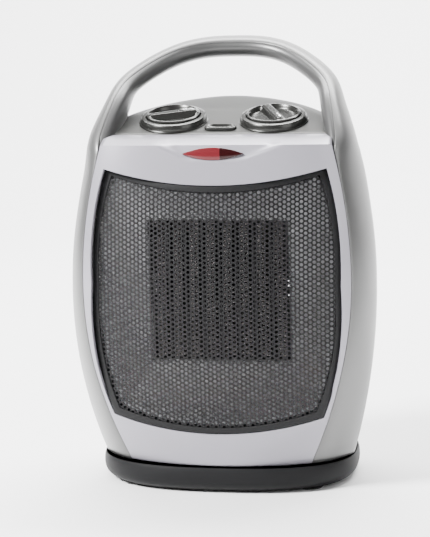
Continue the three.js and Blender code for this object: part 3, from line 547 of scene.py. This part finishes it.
in_slot = np.abs((mid_z - FAN_Z + SLOT_PITCH / 2) % SLOT_PITCH - SLOT_PITCH / 2) < SLOT / 2 - 0.1
in_circle = mid_x ** 2 + (np.round((mid_z - FAN_Z) / SLOT_PITCH) * SLOT_PITCH) ** 2 < INTAKE_RADIUS ** 2
keep = ~(in_slot & in_circle & (mid_y > 30))
rear_cover = build("rear_shell", [(rear, grid_faces(*rear.shape[:2], keep=keep))], SILVER,
                   replaces=("rear_cover",), closed=False)
thicken(rear_cover, 2.2)
print("rear shell open slots:", len(slot_z))

# %% [markdown]
# ## Front bezel
# The bezel is a ring between the barrel-shaped opening and the seam with the side shells. Each of
# the four sides of the opening is joined to the matching side of the seam, so both edges are exact.

# %% front bezel
GRILLE_HALF, GRILLE_TOP, GRILLE_BOTTOM = 73.4, 192.0, 46.0
GRILLE_TOP_HALF, GRILLE_BOTTOM_HALF, GRILLE_SAG, GRILLE_RADIUS = 65.0, 62.5, 9.5, 218.0


def bend(a, b, c, t):
    """A quadratic curve from a to c, pulled towards b."""
    t = t[:, None]
    return (1 - t) ** 2 * np.array(a) + 2 * t * (1 - t) * np.array(b) + t ** 2 * np.array(c)


def barrel_outline(grow, count):
    """The opening's outline in four sides of count points: bottom, right, top, left."""
    t = np.linspace(0, 1, count)
    top, low = GRILLE_TOP + grow, GRILLE_BOTTOM - grow
    half, top_half, low_half = GRILLE_HALF + grow, GRILLE_TOP_HALF + grow, GRILLE_BOTTOM_HALF + grow
    mid = 124.0
    bottom = bend((-low_half, low), (0, low - 2 * GRILLE_SAG), (low_half, low), t)
    over = bend((top_half, top), (0, top - 2 * GRILLE_SAG), (-top_half, top), t)
    two = np.linspace(0, 1, count // 2 + 1)
    rise_low = bend((low_half, low), (half + 0.04 * (mid - low), (low + mid) / 2 - 4), (half, mid), two)
    rise_high = bend((half, mid), (half + 0.02 * (top - mid), (top + mid) / 2 + 4), (top_half, top), two)
    right = np.concatenate([rise_low[:-1], rise_high])
    left = right[::-1] * (-1, 1)
    return [bottom, right, over, left]


SEAM_MIDDLE_Z, SEAM_GROOVE = 124, 0.35


def seam_outline(count):
    """The seam's outline in the same four sides."""
    t = np.linspace(0, 1, count)
    low = BODY_Z + 0.2
    low_half, top_half = bezel_half(np.array(low)), bezel_half(np.array(SILL_Z))
    half_count = count // 2 + 1
    lower = np.linspace(low, SEAM_MIDDLE_Z, half_count)[:-1]
    z = np.concatenate([lower, np.linspace(SEAM_MIDDLE_Z, SILL_Z, half_count)])
    right = np.stack([bezel_half(z) - SEAM_GROOVE * np.sin(math.pi * t) ** 0.3, z], -1)
    bottom = np.stack([mix(-low_half, low_half, t), 0 * t + low], -1)
    over = np.stack([mix(top_half, -top_half, t), 0 * t + SILL_Z], -1)
    return [bottom, right, over, right[::-1] * (-1, 1)]


def facade(x, z, sunk=0.0):
    """The front skin, with the shallow scoop that widens upwards from the lens to the sill."""
    up = np.clip((z - 196.5) / 9, 0, 1)
    reach = mix(18, 38, up ** 1.2)
    scoop = 3.6 * up * (1 - smoothstep(np.abs(x - 3 * up) / reach, 0.72, 1))
    return np.stack([x, front_depth(x, z) + scoop + sunk, z + 0 * x], -1)


SIDE = 61
inner = np.concatenate(barrel_outline(0, SIDE))
outer = np.concatenate(seam_outline(SIDE))
share = np.linspace(0, 1, 26)[:, None, None]
ring = mix(inner[None], outer[None], share)
face = facade(ring[..., 0], ring[..., 1])
lip = face[0][None] + np.array([0, 1, 0]) * np.array([6, 3, 1, 0.3])[:, None, None]
lip[3, :, 0] *= 1 + 0.25 / 75
bezel_rows = np.concatenate([lip[:3], face])
sill_x = np.linspace(1, -1, SIDE)
sill_t = np.linspace(0, 1, 12)[:, None]
crease = facade(sill_x * float(bezel_half(np.array(SILL_Z))), np.full(SIDE, SILL_Z))
panel_edge = np.stack([sill_x * 66.5, np.full(SIDE, PANEL_Y - 0.6), np.full(SIDE, PANEL_Z - 0.2)], -1)
sill = mix(crease[None], panel_edge[None], sill_t[..., None])
sill[..., 2] += 1.1 * np.sin(math.pi * sill_t)
bezel = build("front_bezel_skin", [(bezel_rows, grid_faces(*bezel_rows.shape[:2], wrap=True, flip=True)),
                                   (sill, grid_faces(*sill.shape[:2], flip=True))], PEARL,
              replaces=("front_bezel",), smooth=28, closed=False)
thicken(bezel, 1.8)
print("bezel faces:", len(bezel.data.polygons))

# %% [markdown]
# ## Perforated grille
# A sheet with round holes on a honeycomb lattice. One cell is a hexagon round a twelve-sided hole,
# so six five-sided faces a cell are enough. The sheet bows like a barrel: a circle in plan, and a
# much flatter one in height. It is opened in real geometry, so the element shows through it.

# %% grille
HOLE_PITCH, HOLE_RADIUS, RIM = 2.78, 0.97, 4.0


def barrel_sheet(x, z, offset):
    """Depth of the bowed sheet at (x, z), offset towards the back."""
    radius = GRILLE_RADIUS - (z - NOSE_Z) ** 2 / (2 * NOSE_RADIUS) - offset
    return -FRONT + GRILLE_RADIUS - np.sqrt(radius ** 2 - x ** 2)


def inside(points, outline):
    """Which points lie inside a closed outline, by counting crossings of a line to the right."""
    x, z = points[:, None, 0], points[:, None, 1]
    ax, az = outline[None, :, 0], outline[None, :, 1]
    bx, bz = np.roll(ax, -1, 1), np.roll(az, -1, 1)
    steps = np.where(np.abs(bz - az) < 1e-9, 1e-9, bz - az)
    cross = ((az > z) != (bz > z)) & (x < (bx - ax) * (z - az) / steps + ax)
    return cross.sum(1) % 2 == 1


def lattice(outline):
    """Centres of a honeycomb in upright columns, inside the outline."""
    column, row = np.meshgrid(np.arange(-34, 35), np.arange(-34, 35), indexing="ij")
    x = column * HOLE_PITCH * math.sqrt(3) / 2
    z = 116 + (row + 0.5 * (column % 2)) * HOLE_PITCH
    centres = np.stack([x.ravel(), z.ravel()], -1)
    return centres[inside(centres, outline)]


def perforated(centres, thick):
    """Front and back faces of every cell, and the wall of every hole."""
    six = np.arange(6) * math.pi / 3
    twelve = np.arange(12) * math.pi / 6
    corner = np.stack([np.cos(six), np.sin(six)], -1) * HOLE_PITCH / math.sqrt(3)
    hole = np.stack([np.cos(twelve), np.sin(twelve)], -1) * HOLE_RADIUS
    cell = (centres[:, None] + np.concatenate([corner, hole])[None]).reshape(-1, 2)
    x, z = cell.T
    sides = [np.stack([x, barrel_sheet(x, z, depth), z], -1) for depth in (0, thick)]
    points = np.concatenate(sides)
    k = np.arange(6)
    front = np.stack([k, (k + 1) % 6, 6 + 2 * ((k + 1) % 6), 6 + 2 * k + 1, 6 + 2 * k], -1)
    starts = 18 * np.arange(len(centres))[:, None, None]
    front_faces = (front[None] + starts).reshape(-1, 5)
    back_faces = front_faces[:, ::-1] + len(cell)
    h = np.arange(12)
    wall = np.stack([6 + h, 6 + (h + 1) % 12], -1)[None] + starts
    wall = wall.reshape(-1, 2)
    walls = np.stack([wall[:, 0], wall[:, 1], wall[:, 1] + len(cell), wall[:, 0] + len(cell)], -1)
    return points, front_faces, back_faces, walls


sheet_outline = np.concatenate(barrel_outline(-1.6, SIDE))
centres = lattice(sheet_outline)
points, fronts, backs, walls = perforated(centres, 1.0)
grille = build("grille_sheet", [(points, fronts), (points, backs), (points, walls)], GRILLE,
               replaces=("grille",), smooth=40)
print("holes:", len(centres), "faces:", len(grille.data.polygons))

rim_share = np.array([0, 0, 0, 0.06, 0.5, 0.94, 1, 1])[:, None, None]
rim_sunk = np.array([3.6, 2.0, 0.4, 0.15, 0, 0.15, 0.4, 1.3])[:, None]
rim_out = np.concatenate(barrel_outline(-0.45, SIDE))
rim_in = np.concatenate(barrel_outline(-RIM, SIDE))
rim_plan = mix(rim_out[None], rim_in[None], rim_share)
rim_y = barrel_sheet(rim_plan[..., 0], rim_plan[..., 1], -0.9) + rim_sunk
rim = build("grille_rim", [(np.stack([rim_plan[..., 0], rim_y, rim_plan[..., 1]], -1),
                            grid_faces(*rim_plan.shape[:2], wrap=True))], GRILLE,
            replaces=("grille_frame",), closed=False)
thicken(rim, 1.0)

# %% [markdown]
# ## Heat funnel and heater
# Four bright metal walls narrow from the grille to the heater's window. The heater stands tilted
# behind it: upright dark bars with corrugated fins packed between them.

# %% funnel
WINDOW_HALF, WINDOW_HEIGHT, WINDOW_Z, WINDOW_Y = 41.0, 86.0, 118.8, -47.7
ELEMENT_TILT, ELEMENT_DEPTH, HEATER_BARS, BAR_WIDTH = math.radians(11.8), 15.0, 7, 2.4


def on_element(points):
    """From the heater's own frame (across, back, up) to the body's."""
    x, y, z = np.moveaxis(np.asarray(points, float), -1, 0)
    c, s = math.cos(ELEMENT_TILT), math.sin(ELEMENT_TILT)
    return np.stack([x, WINDOW_Y + y * c - z * s, WINDOW_Z + y * s + z * c], -1)


def window_outline(count, grow):
    """The window's four sides, in the same order as the opening's."""
    t = np.linspace(-1, 1, count)
    half, tall = WINDOW_HALF + grow, WINDOW_HEIGHT / 2 + grow
    bottom = np.stack([half * t, 0 * t, 0 * t - tall], -1)
    right = np.stack([0 * t + half, 0 * t, tall * t], -1)
    return np.concatenate([bottom, right, bottom[::-1] * (1, 1, -1), right[::-1] * (-1, 1, 1)])


MOUTH_INSET, MOUTH_DEPTH = -5.2, 3.2
mouth_x, mouth_z = np.concatenate(barrel_outline(MOUTH_INSET, SIDE)).T
mouth = np.stack([mouth_x, barrel_sheet(mouth_x, mouth_z, MOUTH_DEPTH), mouth_z], -1)
throat = on_element(window_outline(SIDE, 0.6) + np.array([0, -0.6, 0]))
slope = mix(mouth[None], throat[None], np.linspace(0, 1, 12)[:, None, None])
funnel = build("funnel_walls", [(slope, grid_faces(*slope.shape[:2], wrap=True))], FUNNEL,
               replaces=("heat_funnel",), smooth=25, closed=False)
thicken(funnel, 0.8)

# %% heater
BAR_PITCH = 2 * WINDOW_HALF / (HEATER_BARS + 1)


def fin_strip(left, right, tall, pitch, depth):
    """A corrugated strip: a zigzag between left and right as it climbs, drawn out in depth."""
    steps = int(2 * tall / pitch * 2)
    z = np.linspace(-tall, tall, steps + 1)
    x = np.where(np.arange(steps + 1) % 2 == 0, left, right)
    rows = np.stack([x, 0 * x, z], -1)
    return np.stack([rows + np.array([0, d, 0]) for d in (1.2, depth)])


FIN_CLEARANCE, FIN_PITCH, FIN_THICK = 0.6, 3.0, 0.22
fin_height = WINDOW_HEIGHT / 2 - FIN_CLEARANCE
fin_parts = []
for i in range(HEATER_BARS + 1):
    left = -WINDOW_HALF + i * BAR_PITCH + BAR_WIDTH / 2
    right = left + BAR_PITCH - BAR_WIDTH
    strip = on_element(fin_strip(left, right, fin_height, FIN_PITCH, ELEMENT_DEPTH - 1))
    fin_parts.append((strip, grid_faces(*strip.shape[:2])))
fins = build("heater_fins", fin_parts, FINS,
             replaces=tuple(f"fin_pack_{i}" for i in range(1, HEATER_BARS + 2)), smooth=10, closed=False)
thicken(fins, FIN_THICK, 0)
print("fin folds a strip:", strip.shape[1] - 1)


BAR_INSET = 0.4


def bar_surface(x, count=14):
    """A bar with a rounded front edge: a superellipse section drawn out upwards, closed by caps."""
    turn = np.linspace(0, 2 * math.pi, count, endpoint=False)
    middle = ELEMENT_DEPTH / 2
    out_x = BAR_WIDTH / 2 * np.sign(np.cos(turn)) * np.abs(np.cos(turn)) ** 0.6
    out_y = (middle - BAR_INSET) * np.sign(np.sin(turn)) * np.abs(np.sin(turn)) ** 0.5
    tall = WINDOW_HEIGHT / 2 - BAR_INSET
    rows = []
    for z, scale in ((-tall, 0.0), (-tall, 1.0), (tall, 1.0), (tall, 0.0)):
        rows.append(np.stack([x + out_x * scale, middle + out_y * scale, 0 * turn + z], -1))
    return on_element(np.stack(rows))


bar_parts = []
for i in range(1, HEATER_BARS + 1):
    bar = bar_surface(-WINDOW_HALF + i * BAR_PITCH)
    bar_parts.append((bar, grid_faces(*bar.shape[:2], wrap=True)))
build("heater_bars", bar_parts, BARS,
      replaces=tuple(f"heater_bar_{i}" for i in range(1, HEATER_BARS + 1)), smooth=40)

# %% [markdown]
# ## Control panel
# The panel is the sloping deck itself: straight in front, rounded behind, where the plane cuts the
# dome. Its rows are bands up the slope, each as wide as the body is there.

# %% control panel
def deck_half(s):
    """Half width of the body on the deck, s up the slope from the panel's front edge."""
    y = PANEL_Y + s * math.cos(PANEL_TILT)
    z = np.minimum(PANEL_Z + s * math.sin(PANEL_TILT), DOME_Z - 0.05)
    width, middle = dome_width(z), middle_at(z)
    n = np.where(y < middle, squareness(z), 2.2)
    reach = np.where(y < middle, middle - front_at(z), back_at(z) - middle)
    share = np.clip(np.abs(y - middle) / np.maximum(reach, 0.01), 0, 1)
    return np.minimum(width * (1 - share ** n) ** (1 / n), PANEL_HALF + 2.4)


s_all = np.linspace(0, PANEL_DEPTH + 4, 400)
half_all = deck_half(s_all) - 0.6
s_end = s_all[np.nonzero(half_all > 1.0)[0][-1]]
s_rows = s_end * np.sin(np.linspace(0, math.pi / 2, 60))
half_rows = np.interp(s_rows, s_all, half_all)
half_rows[-1] = 0.0
edge = np.concatenate([np.stack([half_rows, s_rows], -1), np.stack([-half_rows, s_rows], -1)[::-1][1:]])
front_edge = np.stack([np.linspace(-half_rows[0], half_rows[0], 40)[1:-1], np.zeros(38)], -1)
edge = np.concatenate([edge, front_edge])
centre = np.array([0.0, s_end * 0.45])
DECK_BANDS = ((0, 0), (0.3, 0), (0.6, 0), (0.9, 0), (0.985, 0), (0.996, -0.15), (1, -0.6),
              (1, -2.4), (0.9, -2.4), (0, -2.4))
deck_rows = []
for scale, height in DECK_BANDS:
    plan = centre + (edge - centre) * scale
    deck_rows.append(np.concatenate([plan, np.full((len(plan), 1), height)], -1))
deck = on_panel(np.stack(deck_rows))
build("panel_plate", [(deck, grid_faces(*deck.shape[:2], wrap=True))], GUNMETAL,
      replaces=("control_panel",), smooth=35)
print("panel depth up the slope:", round(float(s_end), 1))

# %% knobs
KNOB_X, KNOB_S, KNOB_RADIUS, COLLAR_RADIUS, COLLAR_HEIGHT = 30.3, 22.5, 16.2, 20.3, 4.2


def turned(profile, x, s, count=72):
    """A profile of (radius, height) pairs turned about the panel's normal at (x, s)."""
    turn = np.linspace(0, 2 * math.pi, count, endpoint=False)
    r, h = np.array(profile, float).T
    rows = np.stack([x + r[:, None] * np.cos(turn), s + r[:, None] * np.sin(turn), h[:, None] + 0 * turn], -1)
    return on_panel(rows)


def dial_top(x, s, turned_by, rings=34, count=144):
    """A dial: a rounded rim round two hollows, with a grip bar between them and a pointer rib on it."""
    radius = KNOB_RADIUS - 0.1
    r = radius * np.linspace(0, 1, rings)[:, None]
    turn = np.linspace(0, 2 * math.pi, count, endpoint=False)[None, :]
    a, b = r * np.cos(turn), r * np.sin(turn)
    bar = smoothstep(np.abs(b), 2.0, 4.4)
    bowl = 1 - smoothstep(r, radius - 3.2, radius - 0.9)
    height = COLLAR_HEIGHT + 1.3 - 3.0 * bar * bowl + 0.9 * (1 - smoothstep(np.abs(b), 1.6, 3.0)) * bowl
    pointer = (1 - smoothstep(np.abs(b), 0.35, 0.75)) * smoothstep(a, 3.0, 4.0) * bowl
    height = height + 0.45 * pointer - 0.5 * smoothstep(r, radius - 0.7, radius)
    c, d = math.cos(turned_by), math.sin(turned_by)
    top = np.stack([x + a * c - b * d, s + a * d + b * c, height], -1)
    side = top[-1][None] + np.array([0, 0, -1.0])[None, None] * np.array([0.4, 2.0, 3.2])[:, None, None]
    return on_panel(np.concatenate([top, side]))


BORE = KNOB_RADIUS + 0.4
RING_PROFILE = [(BORE, 0.6), (BORE, COLLAR_HEIGHT - 0.3), (KNOB_RADIUS + 0.7, COLLAR_HEIGHT),
                (COLLAR_RADIUS - 2.0, COLLAR_HEIGHT), (COLLAR_RADIUS - 1.2, COLLAR_HEIGHT - 0.25),
                (COLLAR_RADIUS - 0.3, COLLAR_HEIGHT - 1.5), (COLLAR_RADIUS, 0.8),
                (COLLAR_RADIUS + 0.5, 0.3), (COLLAR_RADIUS + 0.5, 0.1), (BORE, 0.1), (BORE, 0.6)]
for name, x, angle in (("thermostat", -KNOB_X, 20), ("mode", KNOB_X, -65)):
    collar = turned(RING_PROFILE, x, KNOB_S)
    build(f"{name}_ring", [(collar, grid_faces(*collar.shape[:2], wrap=True))], KNOB,
          replaces=(f"{name}_collar",), smooth=30)
    dial = dial_top(x, KNOB_S, math.radians(angle))
    build(f"{name}_dial", [(dial, grid_faces(*dial.shape[:2], wrap=True))], KNOB, body=f"{name}_knob",
          replaces=(f"{name}_knob",), smooth=40)
    ray, rim_at = np.linspace(0, 2 * math.pi, 28, endpoint=False), np.array([0, 1, 1, 0.8, 0])
    lift = np.array([0, 0, 0.5, 0.8, 0.85]) + COLLAR_HEIGHT + 2.0
    a = 9.2 + rim_at[:, None] * 3.6 * np.tanh(2 * np.cos(ray))
    b = rim_at[:, None] * 0.65 * np.sin(ray)
    c, d = math.cos(math.radians(angle)), math.sin(math.radians(angle))
    strip = on_panel(np.stack([x + a * c - b * d, KNOB_S + a * d + b * c, lift[:, None] + 0 * a], -1))
    build(f"{name}_pointer", [(strip, grid_faces(*strip.shape[:2], wrap=True))], SHINE, body=f"{name}_knob",
          smooth=50)
print("dial rows:", dial.shape[0])

# %% [markdown]
# ## Button and lens
# The button is an oval with a raised rim and a hollow face. The lens is an eye shape, bounded by
# two parabolas, with a slightly bulging face.

# %% button
BUTTON_S, BUTTON_HALF, BUTTON_DEPTH = 9.2, 9.6, 3.6
turn = np.linspace(0, 2 * math.pi, 96, endpoint=False)
oval_x = (BUTTON_HALF - BUTTON_DEPTH) * np.tanh(6 * np.cos(turn)) + BUTTON_DEPTH * np.cos(turn)
oval_s = BUTTON_DEPTH * np.sin(turn)
BUTTON_BANDS = ((0, 0.3), (0.35, 0.35), (0.6, 0.6), (0.74, 1.3), (0.82, 1.72), (0.88, 1.8),
                (0.94, 1.7), (0.985, 1.3), (1, 0.8), (1, -4.0), (0, -4.0))
button_rows = []
for scale, height in BUTTON_BANDS:
    button_rows.append(np.stack([oval_x * scale, BUTTON_S + oval_s * scale, 0 * turn + height], -1))
button = on_panel(np.stack(button_rows))
build("button_cap", [(button, grid_faces(*button.shape[:2], wrap=True))], KNOB, body="oscillation_button",
      replaces=("oscillation_button",), smooth=40)

# %% lens
LENS_Z, LENS_HALF, LENS_RISE = 200.6, 17.8, 3.7
lens_a = np.sin(np.linspace(-math.pi / 2, math.pi / 2, 61))[None, :]
lens_b = np.linspace(-1, 1, 17)[:, None]
lens_x = LENS_HALF * lens_a + 0 * lens_b
lens_z = LENS_Z + LENS_RISE * lens_b * (1 - lens_a ** 2)
bulge = (1 - lens_a ** 2) * (1 - lens_b ** 2)
lens_y = front_depth(lens_x, lens_z) - 0.25 - 0.75 * bulge
lens_face = np.stack([lens_x, lens_y, lens_z], -1)
lens_piece = build("lens_eye", [(lens_face, grid_faces(*lens_face.shape[:2]))], LENS,
                   replaces=("indicator_lens",), smooth=60, closed=False)
thicken(lens_piece, 3.0)

# %% [markdown]
# ## Base
# A stack of outlines from the floor up: the sides curve in at the foot, and the top edge is
# rounded over on to a flat top. The body's floor and the drive are the frame's own pieces.

# %% base
BASE_HALF_WIDTH, BASE_HALF_DEPTH, BASE_TOP, BASE_EDGE, FOOT, BASE_ROUND = 79.5, 67.0, 15.6, 5.0, 1.6, 2.6


def base_row(level, scale=1.0):
    """The base's outline at a level from 0 to 1: drawn in at the foot and rounded at the top."""
    inset = BASE_EDGE * (1 - level) ** 5 + 0.9 * level ** 6
    turn = np.linspace(0, 2 * math.pi, 160, endpoint=False)
    x = (BASE_HALF_WIDTH - inset) * np.sign(np.cos(turn)) * np.abs(np.cos(turn)) ** (2 / BASE_ROUND)
    y = (BASE_HALF_DEPTH - inset) * np.sign(np.sin(turn)) * np.abs(np.sin(turn)) ** (2 / BASE_ROUND)
    return np.stack([x * scale, y * scale, 0 * x + FOOT + (BASE_TOP - FOOT) * level], -1)


base_rows = [base_row(0, 0.9), base_row(0, 0.985)]
base_rows += [base_row(float(level)) for level in np.linspace(0.02, 0.98, 20)]
base_rows += [base_row(1, 0.994), base_row(1, 0.97), base_row(1, 0.2)]
base_skin = np.stack(base_rows)
base_piece = build("base_skin", [(base_skin, grid_faces(*base_skin.shape[:2], wrap=True))], BASE, body="base",
                   smooth=40, closed=False)
thicken(base_piece, 0.2)
